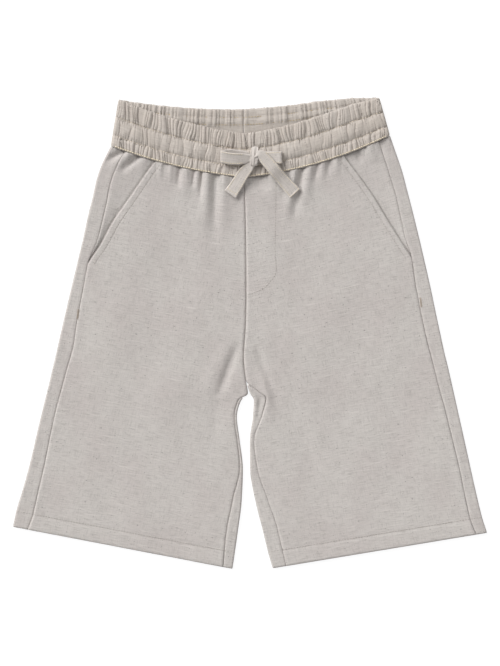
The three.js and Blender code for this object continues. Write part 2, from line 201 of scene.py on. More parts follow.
# The drawstring's two ends, each out of the knot, round its loop, back and out again as a tail:
# x, y, z, width, and the direction that the width lies along.
STRANDS = {
    "right": [
        (2.5, 166, 9.8, 6, 0, 0.94, 0.34),
        (-0.9, 166, 10.2, 9, 0, 0.94, 0.34),
        (-8, 167, 10.2, 11.5, 0, 0.94, 0.34),
        (-18, 168, 10.2, 11.5, 0, 0.94, 0.34),
        (-25.5, 167.2, 10.3, 11.5, 0, 0.94, 0.34),
        (-27.6, 166.6, 11.7, 11.5, 0, 0.94, 0.34),
        (-25.5, 166, 13.1, 11.5, 0, 0.94, 0.34),
        (-18, 164.6, 13.2, 11.5, 0, 0.94, 0.34),
        (-8, 164.4, 12.8, 10.8, 0, 0.94, 0.34),
        (-0.9, 165, 12, 8.6, 0, 0.94, 0.34),
        (3, 164, 11.3, 6, 0.3, 0.9, 0),
        (2.6, 160.5, 10.2, 6, 0.8, -0.5, 0),
        (-0.6, 157.4, 9.4, 9.5, 0.83, -0.56, 0),
        (-6.5, 150.5, 7.8, 11.5, 0.83, -0.56, 0),
        (-12, 141.5, 7, 12, 0.83, -0.56, 0),
        (-18.8, 131.4, 5.8, 13, 0.83, -0.56, 0),
    ],
    "left": [
        (5.5, 166.4, 9.4, 6, 0, 1, 0),
        (8.8, 166.5, 9, 9, 0, 1, 0),
        (15, 166.3, 8.8, 11.3, 0, 1, 0),
        (22, 166.2, 8.8, 11.5, 0, 1, 0),
        (28, 166.1, 8.9, 11.5, 0, 1, 0),
        (29.6, 166, 9.9, 11.5, 0, 1, 0),
        (28, 165.8, 10.9, 11.5, 0, 1, 0),
        (22, 165.6, 10.9, 11.5, 0, 1, 0),
        (15, 165.5, 10.9, 11, 0, 1, 0),
        (8.8, 165.6, 11, 8, 0, 1, 0),
        (5, 167, 12, 6, 0.3, 0.9, 0),
        (7.4, 169, 13.4, 6.5, 0.6, 0.75, 0),
        (11, 167.8, 13.7, 9.5, 0.7, 0.7, 0),
        (16, 162.4, 13.4, 11.3, 0.7, 0.7, 0),
        (23, 154, 12.6, 11.5, 0.7, 0.7, 0),
        (31, 145, 8.6, 11.8, 0.7, 0.7, 0),
        (42.4, 132.6, 5.8, 13, 0.7, 0.7, 0),
    ],
}
STRAND_RINGS = 180
STRAND_CORNERS = 36
KNOT_MIDDLE = (4.2, 167, 11)
KNOT_REACH = (4.3, 9.3, 2.9)
KNOT_RINGS = 40
KNOT_CORNERS = 96

# Grid lines of the meshes: rows down a leg, columns across, and the same for the other pieces.
LEG_ROWS = 230
FRONT_COLUMNS = 150
FACING_ROWS, FACING_COLUMNS = 110, 60
UNDER_COLUMNS, ARC_COLUMNS, WRAP_COLUMNS = 70, 12, 22
BAND_ROWS, BAND_FRONT_COLUMNS, BAND_BACK_COLUMNS, BAND_ARC_COLUMNS = 48, 540, 150, 16

# ---- Helpers ----


def smooth(x, low, high):
    """0 up to low, 1 from high on, and an even curve between them."""
    t = np.clip((x - low) / (high - low), 0, 1)
    return t * t * (3 - 2 * t)


def bell(x, width):
    """1 at x = 0, dying out over about a width on each side."""
    return np.exp(-((x / width) ** 2))


def monotone(values, t):
    """Cubic interpolation of evenly spaced values that never overshoots them."""
    values = np.asarray(values, float)
    steps = np.diff(values)
    inner = np.where(steps[1:] * steps[:-1] > 0, 2 * steps[1:] * steps[:-1], 0)
    inner = inner / np.where(inner == 0, 1, steps[1:] + steps[:-1])
    slopes = np.concatenate([[steps[0]], inner, [steps[-1]]])
    i = np.clip(np.floor(t).astype(int), 0, len(values) - 2)
    f = t - i
    a, b, p, q = values[i], values[i + 1], slopes[i], slopes[i + 1]
    rest = (1 - f) ** 2
    return a * (1 + 2 * f) * rest + p * f * rest + b * f * f * (3 - 2 * f) - q * f * f * (1 - f)


def undulation(x, y):
    """A soft sum of waves over the plan, the same each run."""
    random = np.random.default_rng(UNDULATION_SEED)
    total = np.zeros(np.broadcast(x, y).shape)
    for length, height in UNDULATION:
        for _ in range(4):
            angle, phase = random.uniform(0, 2 * math.pi, 2)
            size = length * random.uniform(0.75, 1.3)
            along = x * math.cos(angle) + y * math.sin(angle)
            total += height / 2 * np.sin(2 * math.pi * along / size + phase)
    return total


def crease_height(x, y):
    """Height that the creases of the table add at plan points."""
    total = np.zeros(np.broadcast(x, y).shape)
    for ax, ay, bx, by, width, height, is_open in CREASES:
        dx, dy = bx - ax, by - ay
        t = np.clip(((x - ax) * dx + (y - ay) * dy) / (dx * dx + dy * dy), 0, 1)
        away = np.hypot(x - ax - t * dx, y - ay - t * dy)
        spread = width * (1 + 0.8 * t) if is_open else width
        profile = np.cos(math.pi / 2 * t) if is_open else np.sin(math.pi * t)
        total += CREASE_HEIGHT * height * profile * bell(away, spread)
    return total


def pleats(x, every, seed, sharp=0.7):
    """Uneven gathers along x: rounded ridges up to 1 with narrow valleys at 0."""
    random = np.random.default_rng(seed)
    phase = x / every
    for size, amount in ((5.3, 0.5), (2.7, 0.3), (1.7, 0.16)):
        phase = phase + amount * np.sin(2 * math.pi * x / (every * size) + random.uniform(0, 6.3))
    tall = 0.72 + 0.28 * np.sin(2 * math.pi * x / (every * 3.6) + random.uniform(0, 6.3))
    return tall * np.abs(np.sin(math.pi * phase)) ** sharp


# ---- Meshes ----


def grid_normals(points, up_at):
    """Unit normals of a grid of points, turned so that the one at up_at points upwards."""
    normals = np.cross(np.gradient(points, axis=0), np.gradient(points, axis=1))
    normals /= np.maximum(np.linalg.norm(normals, axis=2, keepdims=True), 1e-12)
    return normals if normals[up_at][2] > 0 else -normals


def quads_of(rows, columns, wrap=False):
    """Faces of a grid of points, closed round the columns where wrap is set."""
    across = np.arange(columns if wrap else columns - 1)
    i, j = np.meshgrid(np.arange(rows - 1) * columns, across, indexing="ij")
    k = (j + 1) % columns
    return np.stack([i + j, i + k, i + columns + k, i + columns + j], -1).reshape(-1, 4)


def caps(rings, corners):
    """Faces that close the first and the last ring of a tube."""
    faces = []
    for k in range(corners // 2 - 1):
        faces.append([k, k + 1, corners - 2 - k, corners - 1 - k])
    first = np.array(faces)
    return np.concatenate([first, first[:, ::-1] + (rings - 1) * corners])


def tube_quads(rings, corners):
    return np.concatenate([quads_of(rings, corners, wrap=True), caps(rings, corners)])


def make_mesh(name, points, quads, uv, material):
    """A mesh object from quads whose faces are turned outwards, with its cloth coordinates."""
    a, b, c, d = (points[quads[:, k]] for k in range(4))
    if (np.cross(a, b) * c + np.cross(a, c) * d).sum() < 0:
        quads = quads[:, ::-1]
    mesh = bpy.data.meshes.new(name)
    mesh.vertices.add(len(points))
    mesh.vertices.foreach_set("co", np.asarray(points, np.float32).ravel())
    mesh.loops.add(quads.size)
    mesh.loops.foreach_set("vertex_index", quads.ravel().astype(np.int32))
    mesh.polygons.add(len(quads))
    mesh.polygons.foreach_set("loop_start", np.arange(0, quads.size, 4, dtype=np.int32))
    mesh.polygons.foreach_set("use_smooth", np.ones(len(quads), bool))
    mesh.update(calc_edges=True)
    layer = mesh.uv_layers.new(name="Cloth")
    layer.data.foreach_set("uv", np.asarray(uv, np.float32)[quads.ravel()].ravel())
    mesh.materials.append(material)
    mesh.validate()
    piece = bpy.data.objects.new(name, mesh)
    bpy.context.collection.objects.link(piece)
    return piece


def shell(name, points, uv, outside, inside, up_at, material):
    """A closed thin shell on a grid of points in millimetres, softened at its rims."""
    rows, columns = points.shape[:2]
    normals = grid_normals(points, up_at)
    rim = np.ones((rows, columns))
    rim[[0, -1], :] = RIM
    rim[:, [0, -1]] = RIM
    outer = points + normals * (outside * rim)[..., None]
    inner = points - normals * (inside * rim)[..., None]
    count = rows * columns
    quads = quads_of(rows, columns)
    index = np.arange(count).reshape(rows, columns)
    border = np.concatenate([index[0, :-1], index[:-1, -1], index[-1, :0:-1], index[:0:-1, 0]])
    after = np.roll(border, -1)
    sides = np.stack([after, border, border + count, after + count], -1)
    faces = np.concatenate([quads, quads[:, ::-1] + count, sides])
    everything = np.concatenate([outer.reshape(-1, 3), inner.reshape(-1, 3)]) * MM
    both = np.concatenate([uv.reshape(-1, 2), uv.reshape(-1, 2)]) * MM
    return make_mesh(name, everything, faces, both, material)


# ---- Materials ----


class Nodes:
    """Adds nodes to a material and links them."""

    def __init__(self, name):
        self.material = bpy.data.materials.new(name)
        self.material.use_nodes = True
        self.tree = self.material.node_tree
        self.shader = self.tree.nodes["Principled BSDF"]

    def add(self, kind, inputs=None, **settings):
        node = self.tree.nodes.new(kind)
        for key, value in settings.items():
            setattr(node, key, value)
        for key, value in (inputs or {}).items():
            self.put(node.inputs[key], value)
        return node

    def put(self, socket, value):
        if isinstance(value, bpy.types.NodeSocket):
            self.tree.links.new(value, socket)
        else:
            socket.default_value = value

    def math(self, operation, a, b=0.0):
        """A Math node's result. b is left out for a sine."""
        return self.add("ShaderNodeMath", {0: a, 1: b}, operation=operation).outputs[0]

    def noise(self, vector, across, along, detail):
        """Noise of that many spots to the metre in each direction of the cloth."""
        moved = self.add("ShaderNodeMapping", {"Vector": vector, "Scale": (across, along, 1)})
        inputs = {"Vector": moved.outputs[0], "Scale": 1.0, "Detail": detail}
        texture = self.add("ShaderNodeTexNoise", inputs)
        return texture.outputs[0]

    def ramp(self, value, low, high, start=0.0, end=1.0):
        inputs = {0: value, 1: low, 2: high, 3: start, 4: end}
        node = self.add("ShaderNodeMapRange", inputs, interpolation_type="SMOOTHSTEP")
        return node.outputs[0]

    def mix(self, share, a, b):
        node = self.add("ShaderNodeMix", data_type="RGBA")
        for i, value in ((0, share), (6, a), (7, b)):
            self.put(node.inputs[i], value)
        return node.outputs[2]


def linen(name, colour, dark, warm, weave=1.0):
    """Plain weave with slubs, heathered streaks along both threads, neps and soft patches of tone."""
    n = Nodes(name)
    uv = n.add("ShaderNodeUVMap", uv_map="Cloth").outputs[0]
    weft = n.noise(uv, 110, 1500, 4)
    warp = n.noise(uv, 1500, 110, 4)
    slub = n.noise(uv, 38, 620, 2)
    patches = n.noise(uv, 22, 18, 2)
    neps = n.noise(uv, 420, 640, 1)
    base = n.mix(n.ramp(patches, 0.35, 0.7), (*colour, 1), (*warm, 1))
    base = n.mix(n.math("MULTIPLY", n.ramp(weft, 0.45, 0.75), 0.75), base, (*dark, 1))
    base = n.mix(n.math("MULTIPLY", n.ramp(warp, 0.47, 0.75), 0.6), base, (*dark, 1))
    light = tuple(min(1.0, 1.14 * c) for c in colour)
    base = n.mix(n.math("MULTIPLY", n.ramp(slub, 0.55, 0.75), 0.5), base, (*light, 1))
    speck = tuple(0.55 * c for c in dark)
    base = n.mix(n.math("MULTIPLY", n.ramp(neps, 0.68, 0.76), 0.7), base, (*speck, 1))
    n.put(n.shader.inputs["Base Color"], base)

    split = n.add("ShaderNodeSeparateXYZ", {0: uv})
    threads = []
    for axis, pitch in ((0, 0.00052), (1, 0.00058)):
        turns = n.math("MULTIPLY", split.outputs[axis], 2 * math.pi / pitch)
        threads.append(n.math("SINE", turns))
    cross = n.math("MULTIPLY", threads[0], threads[1])
    height = n.math("MULTIPLY", cross, 0.00004 * weave)
    height = n.math("ADD", height, n.math("MULTIPLY", weft, 0.00022 * weave))
    height = n.math("ADD", height, n.math("MULTIPLY", slub, 0.00018 * weave))
    height = n.math("ADD", height, n.math("MULTIPLY", warp, 0.00012 * weave))
    bump = n.add("ShaderNodeBump", {"Height": height, "Strength": 0.8, "Distance": 1.0})
    n.put(n.shader.inputs["Normal"], bump.outputs[0])
    n.put(n.shader.inputs["Roughness"], n.ramp(weft, 0.3, 0.7, 0.86, 0.96))
    n.shader.inputs["Specular IOR Level"].default_value = 0.25
    n.shader.inputs["Sheen Weight"].default_value = 0.12
    n.shader.inputs["Sheen Roughness"].default_value = 0.5
    return n.material


def thread(name, colour):
    """Sewing thread: a twisted ply with a little sheen."""
    n = Nodes(name)
    place = n.add("ShaderNodeTexCoord").outputs["Object"]
    tone = n.noise(place, 900, 900, 2)
    darker = tuple(0.78 * c for c in colour)
    n.put(n.shader.inputs["Base Color"], n.mix(n.ramp(tone, 0.35, 0.65), (*colour, 1), (*darker, 1)))
    bump = n.add("ShaderNodeBump", {"Height": tone, "Strength": 0.4, "Distance": 0.0002})
    n.put(n.shader.inputs["Normal"], bump.outputs[0])
    n.shader.inputs["Roughness"].default_value = 0.7
    n.shader.inputs["Sheen Weight"].default_value = 0.2
    return n.material


CLOTH_LOOK = linen("linen_body", (0.60, 0.565, 0.535), (0.40, 0.37, 0.35), (0.575, 0.53, 0.505))
BAND_LOOK = linen("linen_band", (0.56, 0.51, 0.465), (0.40, 0.35, 0.31), (0.54, 0.485, 0.435), 0.9)
TIE_LOOK = linen("linen_tie", (0.66, 0.61, 0.57), (0.46, 0.42, 0.385), (0.63, 0.58, 0.535), 0.9)
CREAM_THREAD = thread("thread_cream", (0.90, 0.79, 0.60))
BODY_THREAD = thread("thread_body", (0.44, 0.40, 0.365))
TAN_THREAD = thread("thread_tan", (0.50, 0.40, 0.30))
OCHRE_THREAD = thread("thread_ochre", (0.55, 0.42, 0.20))

# ---- Leg sections ----


def sections(side, t):
    """The columns of a leg's table at row numbers t, with what follows from them."""
    table = np.array(LEGS[side], float)
    s = {name: monotone(table[:, k], t) for k, name in enumerate(COLUMNS)}
    fade = np.maximum(0, 1 - t / SAG_SECTIONS)
    s["sag"] = WAIST_SAG[side] * fade
    s["backSag"] = BACK_SAG * fade
    s["rise"] = np.interp(t, np.arange(5), BACK_RISE + [0])
    s["top"] = FRONT_LEVEL + np.interp(t, np.arange(3), WAIST_LIFT + [0])
    s["length"] = np.hypot(s["inX"] - s["outX"], s["inY"] - s["outY"])
    s["hem"] = smooth(t, HEM_ROW - 0.06, HEM_ROW + 0.03)
    return s


def plan(s, distance, under):
    """Plan point at a distance from the outer fold. under goes from 0 on top to 1 beneath."""
    share = distance / s["length"][:, None]
    dip = (s["sag"][:, None] * (1 - under) + s["backSag"][:, None] * under) * 4 * share * (1 - share)
    x = s["outX"][:, None] * (1 - share) + s["inX"][:, None] * share
    y = s["outY"][:, None] * (1 - share) + s["inY"][:, None] * share
    return x, y + s["rise"][:, None] * share * under - dip


def row_numbers(last, count):
    """Row numbers from the waist to a last one, closer together at the waist."""
    even = np.linspace(0, 1, count)
    return last * (0.6 * even + 0.4 * even**2)


def down_the_leg(x, y):
    """Length down the middle of a grid, for the cloth coordinates."""
    middle = x.shape[1] // 2
    steps = np.hypot(np.diff(x[:, middle]), np.diff(y[:, middle]))
    return np.concatenate([[0], np.cumsum(steps)])


def cloth_uv(distance, x, y):
    """Cloth coordinates whose grain follows the leg."""
    return np.stack([distance + 0 * x, -down_the_leg(x, y)[:, None] + 0 * x], -1)


def seam_edge(distance, depth=0.28):
    """The cloth rolls down at a seam and stands a little proud beside it."""
    return -depth * bell(distance, 0.9) + 0.12 * bell(distance - 2.8, 1.8)


def top_relief(x, y):
    """Creases and soft waves of whatever layer is uppermost."""
    return crease_height(x, y) + undulation(x, y)


def waist_gathers(x, y, s):
    """Fine gathers that run down from the waistband and soon die out."""
    below = np.maximum(0, s["waistY"] - y)
    return 0.75 * (pleats(x, 6.2, 5) - 0.5) * np.exp(-below / 9)


def front_surface(side, t, edge_shares):
    """Grid of the front panel's middle surface, with the distances and sections that it is on."""
    s = sections(side, t)
    start = np.maximum(s["mouth"], s["wrapOut"]) + SEAM_GAP / 2
    end = s["length"] - s["wrapIn"] - SEAM_GAP / 2
    distance = start[:, None] + (end - start)[:, None] * edge_shares
    x, y = plan(s, distance, 0.0)
    s["waistY"] = waist_edge(x, 0.0)
    from_start, from_end = distance - start[:, None], end[:, None] - distance
    pocket = smooth(s["mouth"] - s["wrapOut"], 0, 3)[:, None]
    z = s["top"][:, None] + top_relief(x, y) + waist_gathers(x, y, s)
    z = z + seam_edge(from_end, (0.9 - 0.62 * smooth(s["wrapIn"], 0.1, 2.2))[:, None])
    z = z + (1 - pocket) * seam_edge(from_start)
    z = z + pocket * (0.12 * bell(from_start - 1.5, 2) - 0.22 * bell(from_start - POCKET_STITCH, 0.7))
    hem_line = (s["outY"] - LEGS[side][HEM_ROW][1])[:, None]
    z = z - 0.3 * bell(hem_line, 0.9) + 0.35 * smooth(-hem_line, 0, 2.5)
    z = z + 0.16 * (pleats(distance, 7.5, 3) - 0.5) * bell(hem_line + 7, 8)
    return x, y, np.maximum(z, LOWEST_FRONT), distance, s


def front(side):
    t = row_numbers(len(LEGS[side]) - 1, LEG_ROWS)
    shares = np.linspace(0, 1, FRONT_COLUMNS)
    x, y, z, distance, s = front_surface(side, t, shares)
    points = np.stack([x, y, z], -1)
    inside = (CLOTH / 2 + HEM_EXTRA * s["hem"])[:, None] + 0 * x
    uv = cloth_uv(distance, x, y)
    piece = shell(f"cloth_front_{side}", points, uv, CLOTH / 2 + 0 * x, inside, (60, 70), CLOTH_LOOK)
    return piece, points


def facing(side):
    """The pocket facing: level with the front at the side seam, and diving under its slanted edge."""
    t = np.linspace(0, POCKET_ROWS - 1, FACING_ROWS)
    s = sections(side, t)
    start = s["wrapOut"] + SEAM_GAP / 2
    end = s["mouth"] + POCKET_TUCK
    distance = start[:, None] + (end - start)[:, None] * np.linspace(0, 1, FACING_COLUMNS)
    x, y = plan(s, distance, 0.0)
    s["waistY"] = waist_edge(x, 0.0)
    under = s["top"] - FACING_DROP
    dive = np.maximum(s["mouth"] - start - FACING_DROP, 0.3)
    down = smooth((distance - start[:, None]) / dive[:, None], 0, 1)
    closed = smooth(t, POCKET_ROWS - 1.5, POCKET_ROWS - 1)[:, None]
    down = np.maximum(down, closed)
    tucked = smooth(distance - s["mouth"][:, None], -4, 0)
    relief = top_relief(x, y) + waist_gathers(x, y, s)
    z = s["top"][:, None] * (1 - down) + under[:, None] * down
    z = z + (1 - tucked) * np.clip(relief, *RELIEF_LIMITS) + tucked * np.clip(relief, -0.3, 0)
    z = z + seam_edge(distance - start[:, None]) * (1 - down)
    z = z - 0.55 * bell(distance - s["mouth"][:, None] + 1.0, 1.3)
    points = np.stack([x, y, z], -1)
    half = CLOTH / 2 + 0 * x
    uv = cloth_uv(distance, x, y)
    piece = shell(f"cloth_pocket_facing_{side}", points, uv, half, half, (30, 2), CLOTH_LOOK)
    return piece, points


CURL = 12  # above the crotch, the width of the back's strip that is the inner fold below it
HOLLOW_ROW = 11.2
HOLLOW = {"right": 0, "left": -1.3}  # a dent at the top of the inner thigh


def back(side):
    """The back: flat beneath, round the outer fold and the inner one, and onto the top."""
    t = row_numbers(len(LEGS[side]) - 1, LEG_ROWS)
    s = sections(side, t)
    radius = (s["top"] - BACK_LEVEL) / 2
    turn = radius + CLOTH / 2
    closed = smooth(s["wrapIn"], 0.1, 2.2)
    angle = np.linspace(0, math.pi, ARC_COLUMNS)

    def blend(a, b, count, skip=0):
        return a[:, None] + (b - a)[:, None] * np.linspace(0, 1, count)[skip:]

    length = s["length"]
    wrap = blend(s["wrapOut"] - SEAM_GAP / 2, turn, WRAP_COLUMNS)[:, :-1]
    arc = turn[:, None] - radius[:, None] * np.sin(angle)
    flat_end = closed * (length - turn) + (1 - closed) * (length - CURL)
    under = blend(turn, flat_end, UNDER_COLUMNS)[:, 1:-1]
    inner_arc = (length - turn)[:, None] + radius[:, None] * np.sin(angle)
    inner_wrap = blend(length - turn, length - np.maximum(s["wrapIn"], 2.4) + SEAM_GAP / 2, WRAP_COLUMNS, 1)
    curled = np.concatenate([inner_arc, inner_wrap], 1)
    flat = blend(length - CURL, length - SEAM_GAP / 2, curled.shape[1])
    mix = closed[:, None]
    distance = np.concatenate([wrap, arc, under, mix * curled + (1 - mix) * flat], 1)

    top, low = s["top"][:, None], BACK_LEVEL
    ring = (low + radius)[:, None] + radius[:, None] * np.cos(angle)
    inner_z = np.concatenate([ring[:, ::-1], top + 0 * inner_wrap], 1)
    z = np.concatenate([top + 0 * wrap, ring, low + 0 * under, mix * inner_z + (1 - mix) * low], 1)

    share_under = np.clip((top - z) / (top - low), 0, 1)
    x, y = plan(s, distance, share_under)
    s["waistY"] = waist_edge(x, 0.0)
    on_top = smooth(z, low + 1.2, FRONT_LEVEL - 0.3)
    edge = np.concatenate(
        [
            seam_edge(s["wrapOut"][:, None] - distance[:, : wrap.shape[1]]),
            0 * ring,
            0 * under,
            mix * seam_edge(distance[:, -curled.shape[1] :] - (length - s["wrapIn"])[:, None]),
        ],
        1,
    )
    inner_side = distance > length[:, None] / 2
    hollow = HOLLOW[side] * bell(t - HOLLOW_ROW, 0.8)[:, None]
    hollow = hollow * smooth(length[:, None] - distance, 2, 6)
    relief = np.clip(top_relief(x, y), *RELIEF_LIMITS) + waist_gathers(x, y, s)
    z = z + on_top * (relief + edge + np.where(inner_side, hollow, 0))
    points = np.stack([x, y, z], -1)
    inside = (CLOTH / 2 + HEM_EXTRA * s["hem"])[:, None] + 0 * x
    uv = cloth_uv(distance, x, y)
    piece = shell(f"cloth_back_{side}", points, uv, CLOTH / 2 + 0 * x, inside, (60, 2), CLOTH_LOOK)
    return piece, points


# ---- Waistband ----


def waist_edge(x, under):
    """Height in plan of the seam that the waistband is sewn to."""
    total = 0
    for side, sign in (("right", -1), ("left", 1)):
        out_x, out_y, in_x, in_y = LEGS[side][0][:4]
        share = np.clip((x - out_x) / (in_x - out_x), 0, 1)
        dip = (WAIST_SAG[side] * (1 - under) + BACK_SAG * under) * 4 * share * (1 - share)
        y = out_y + (in_y - out_y) * share + BACK_RISE[0] * share * under - dip
        total = total + np.where((x - in_x) * sign >= 0, y, 0)
    return total


def band_relief(x, up):
    """Gathers of the waistband: fine above and below the drawstring's channel, broad along it."""
    low, high = CHANNEL
    leaning = x + 0.10 * up * BAND_TALL * np.sin(x / 23) + 0.9 * np.sin(up * 9 + x / 6)
    upper = smooth(up, high - 0.03, high + 0.03)
    lower = 1 - smooth(up, low - 0.03, low + 0.03)
    channel = 1 - upper - lower
    in_upper = np.clip((up - high) / (1 - high), 0, 1)
    in_lower = np.clip(up / low, 0, 1)
    in_channel = np.clip((up - low) / (high - low), 0, 1)
    arch = np.sin(math.pi * in_channel) ** 0.6
    middle = bell(x - 8, 26)
    high_zone = 0.1 + 2.5 * pleats(leaning, GATHER, 11)
    height = upper * high_zone * (0.5 + 0.5 * np.sin(math.pi * in_upper) ** 0.5)
    low_zone = 0.1 + 2.1 * pleats(leaning, GATHER * 1.1, 13)
    height = height + lower * low_zone * (0.5 + 0.5 * np.sin(math.pi * in_lower) ** 0.5)
    broad = (1 - 0.6 * middle) * 2.0 * pleats(leaning, 13.5, 17, 0.4)
    broad = broad + (0.4 + 1.6 * middle) * pleats(leaning, GATHER * 1.15, 19)
    height = height + channel * arch * (0.7 + broad)
    pucker = pleats(x, GATHER, 23)
    for line in CHANNEL:
        away = (up - line) * BAND_TALL + 0.5 * np.sin(x / 2.9) + 0.4 * np.sin(x / 7.3)
        height = height - (1.2 - 1.4 * pucker) * bell(away, 1.3)
        height = height + 1.1 * (pleats(x + 2 * up, GATHER * 0.86, 37) - 0.6) * bell(away, 4.2)
    return height


def band():
    """The waistband: a tube from the centre back seam round the front and back to it."""
    seam = LEGS["right"][0][2]
    radius = (BAND_FRONT_LEVEL - BAND_BACK_LEVEL) / 2
    turn = radius + BAND_WALL / 2
    low, high = LEGS["right"][0][0] + turn, LEGS["left"][0][0] - turn
    front_x = np.linspace(low, high, BAND_FRONT_COLUMNS)
    half_turn = np.linspace(math.pi, 0, BAND_ARC_COLUMNS)
    parts = [
        (np.linspace(seam - 0.1, low, BAND_BACK_COLUMNS), -1.0),
        (low - radius * np.sin(half_turn), np.cos(half_turn)),
        (front_x, 1.0),
        (high + radius * np.sin(half_turn), np.cos(half_turn[::-1])),
        (np.linspace(high, seam + 0.1, BAND_BACK_COLUMNS), -1.0),
    ]
    x = np.concatenate([part[0] for part in parts])
    up_part = np.concatenate([facing_up + 0 * places for places, facing_up in parts])
    moved = np.abs(np.diff(x)) + np.abs(np.diff(up_part)) > 1e-6
    single = np.concatenate([[True], moved])
    x, up_part = x[single], up_part[single]
    under = (1 - up_part) / 2
    up = np.linspace(0, 1, BAND_ROWS)[:, None]
    table = np.array(BAND_HEIGHTS)
    tall_front, tall_back = (np.interp(x, table[:, 0], table[:, k]) for k in (1, 2))
    tall = tall_front * (1 - under) + tall_back * under
    lean = np.where(x < 0, BAND_LEAN["right"], BAND_LEAN["left"])
    scallop = 0.7 * (pleats(x, GATHER, 11) - 0.5)
    wavy = smooth(up, 0.9, 1) - 0.5 * (1 - smooth(up, 0, 0.08))
    y = waist_edge(x, under) + BAND_GAP + up * tall + scallop * wavy
    plan_x = x * (1 - lean * up)
    z = BAND_BACK_LEVEL + radius * (1 + up_part) + 0 * up
    relief = band_relief(x, up)
    on_front = smooth(up_part, -0.2, 1)
    z = z + on_front * relief
    points = np.stack([plan_x + 0 * up, y, z], -1)
    rounded = np.sqrt(np.clip(1 - np.abs(2 * up - 1) ** 14, 0.04, 1))
    half = BAND_WALL / 2 * rounded
    back_top = (1 - on_front) * np.clip(back_band_relief(x, up), 0, 2.1)
    along = np.concatenate([[0], np.cumsum(np.hypot(np.diff(x), radius * np.diff(up_part)))])
    uv = np.stack([along + 0 * up, up * tall], -1)
    front_column = int(np.argmin(np.abs(x) + 100 * (1 - up_part)))
    outside = half + 0 * x
    up_at = (BAND_ROWS // 2, front_column)
    piece = shell("cloth_waistband", points, uv, outside, half + back_top, up_at, BAND_LOOK)
    return piece, points, up_part


def back_band_relief(x, up):
    """Inside of the band's back: gathered at the top, plain below the elastic's lower stitching."""
    gathered = smooth(up, 0.62, 0.72)
    flat_centre = 1 - 0.85 * bell(x - 4, 9)
    rows = sum(bell((up - row) * BACK_TALL, 1.2) for row in INNER_ROWS)
    relief = gathered * (0.2 + 2.0 * pleats(x, BACK_GATHER, 29)) + 0.4 * pleats(x, 9, 31)
    return relief * flat_centre - 0.5 * rows * gathered


# ---- Drawstring ----


def strand(side):
    """One end of the drawstring as a flat tube along its route, with the route and its rings."""
    table = np.array(STRANDS[side], float)
    t = np.linspace(0, len(table) - 1, STRAND_RINGS)
    values = np.stack([catmull(table[:, k], t) for k in range(7)], -1)
    centres, width, across = values[:, :3], values[:, 3], values[:, 4:]
    tangent = np.gradient(centres, axis=0)
    tangent /= np.linalg.norm(tangent, axis=1, keepdims=True)
    across = across - (across * tangent).sum(1, keepdims=True) * tangent
    across /= np.linalg.norm(across, axis=1, keepdims=True)
    up = np.cross(tangent, across)
    corner = np.linspace(0, 2 * math.pi, STRAND_CORNERS + 1)[:-1]
    flat_u = np.sign(np.cos(corner)) * np.abs(np.cos(corner)) ** 0.35
    flat_v = np.sign(np.sin(corner)) * np.abs(np.sin(corner)) ** 0.6
    along = np.concatenate([[0], np.cumsum(np.linalg.norm(np.diff(centres, axis=0), axis=1))])
    sag = 0.22 * np.sin(along / 5.5)[:, None] * flat_u**2
    bunch = (1 - smooth(width, 8, 11))[:, None] * 0.5 * np.cos(3 * math.pi * flat_u)
    selvedge = 1 + 0.18 * bell(np.abs(flat_u) - 0.9, 0.12)
    thick = TIE_THICKNESS / 2 * flat_v * selvedge + sag + bunch
    sideways = width[:, None] / 2 * flat_u
    rings = centres[:, None] + across[:, None] * sideways[..., None] + up[:, None] * thick[..., None]
    quads = tube_quads(STRAND_RINGS, STRAND_CORNERS)
    uv = np.stack([along[:, None] + 0 * thick, sideways], -1)
    points = rings.reshape(-1, 3) * MM
    piece = make_mesh(f"drawstring_{side}", points, quads, uv.reshape(-1, 2) * MM, TIE_LOOK)
    return piece, centres, rings


def catmull(values, t):
    """Smooth interpolation of evenly spaced values."""
    padded = np.concatenate([[2 * values[0] - values[1]], values, [2 * values[-1] - values[-2]]])
    i = np.clip(np.floor(t).astype(int), 0, len(values) - 2)
    f = t - i
    a, b, c, d = padded[i], padded[i + 1], padded[i + 2], padded[i + 3]
    return b + 0.5 * f * (c - a + f * (2 * a - 5 * b + 4 * c - d + f * (3 * (b - c) + d - a)))


def knot():
    """The wrap of the knot: a creased band round the middle of the bow."""
    theta = np.linspace(0, 2 * math.pi, KNOT_CORNERS + 1)[:-1]
    u = np.linspace(-1, 1, KNOT_RINGS)[:, None]
    crease = 0.35 * np.cos(u * 7 + np.sin(theta) * 1.2) + 0.2 * np.cos(u * 15 + 2 * np.cos(theta))
    swell = np.sqrt(np.clip(1 - np.abs(u) ** 5, 0.02, 1))
    tilt = 0.16 * np.cos(theta)
    reach_y = (KNOT_REACH[1] + crease * 0.6) * (0.55 + 0.45 * swell)
    reach_z = (KNOT_REACH[2] + crease) * (0.35 + 0.65 * swell)
    x = KNOT_MIDDLE[0] + KNOT_REACH[0] * (u * (1 - 0.12 * np.abs(np.cos(theta))) + tilt)
    y = KNOT_MIDDLE[1] + reach_y * np.cos(theta)
    z = KNOT_MIDDLE[2] + reach_z * np.sin(theta)
    rings = np.stack([x, y, z], -1)
    quads = tube_quads(KNOT_RINGS, KNOT_CORNERS)
    points = rings.reshape(-1, 3) * MM
    turns = np.broadcast_to(theta * KNOT_REACH[1], x.shape)
    uv = np.stack([turns, u * KNOT_REACH[0] + 0 * x], -1).reshape(-1, 2) * MM
    return make_mesh("drawstring_knot_wrap", points, quads, uv, TIE_LOOK)


# ---- Stitches ----

STITCH_SIDES = 6
STITCH_RINGS = ((-1, 0.25), (-0.7, 0.85), (0, 1), (0.7, 0.85), (1, 0.25))  # place and thickness
COVER_NEIGHBOURS = 6


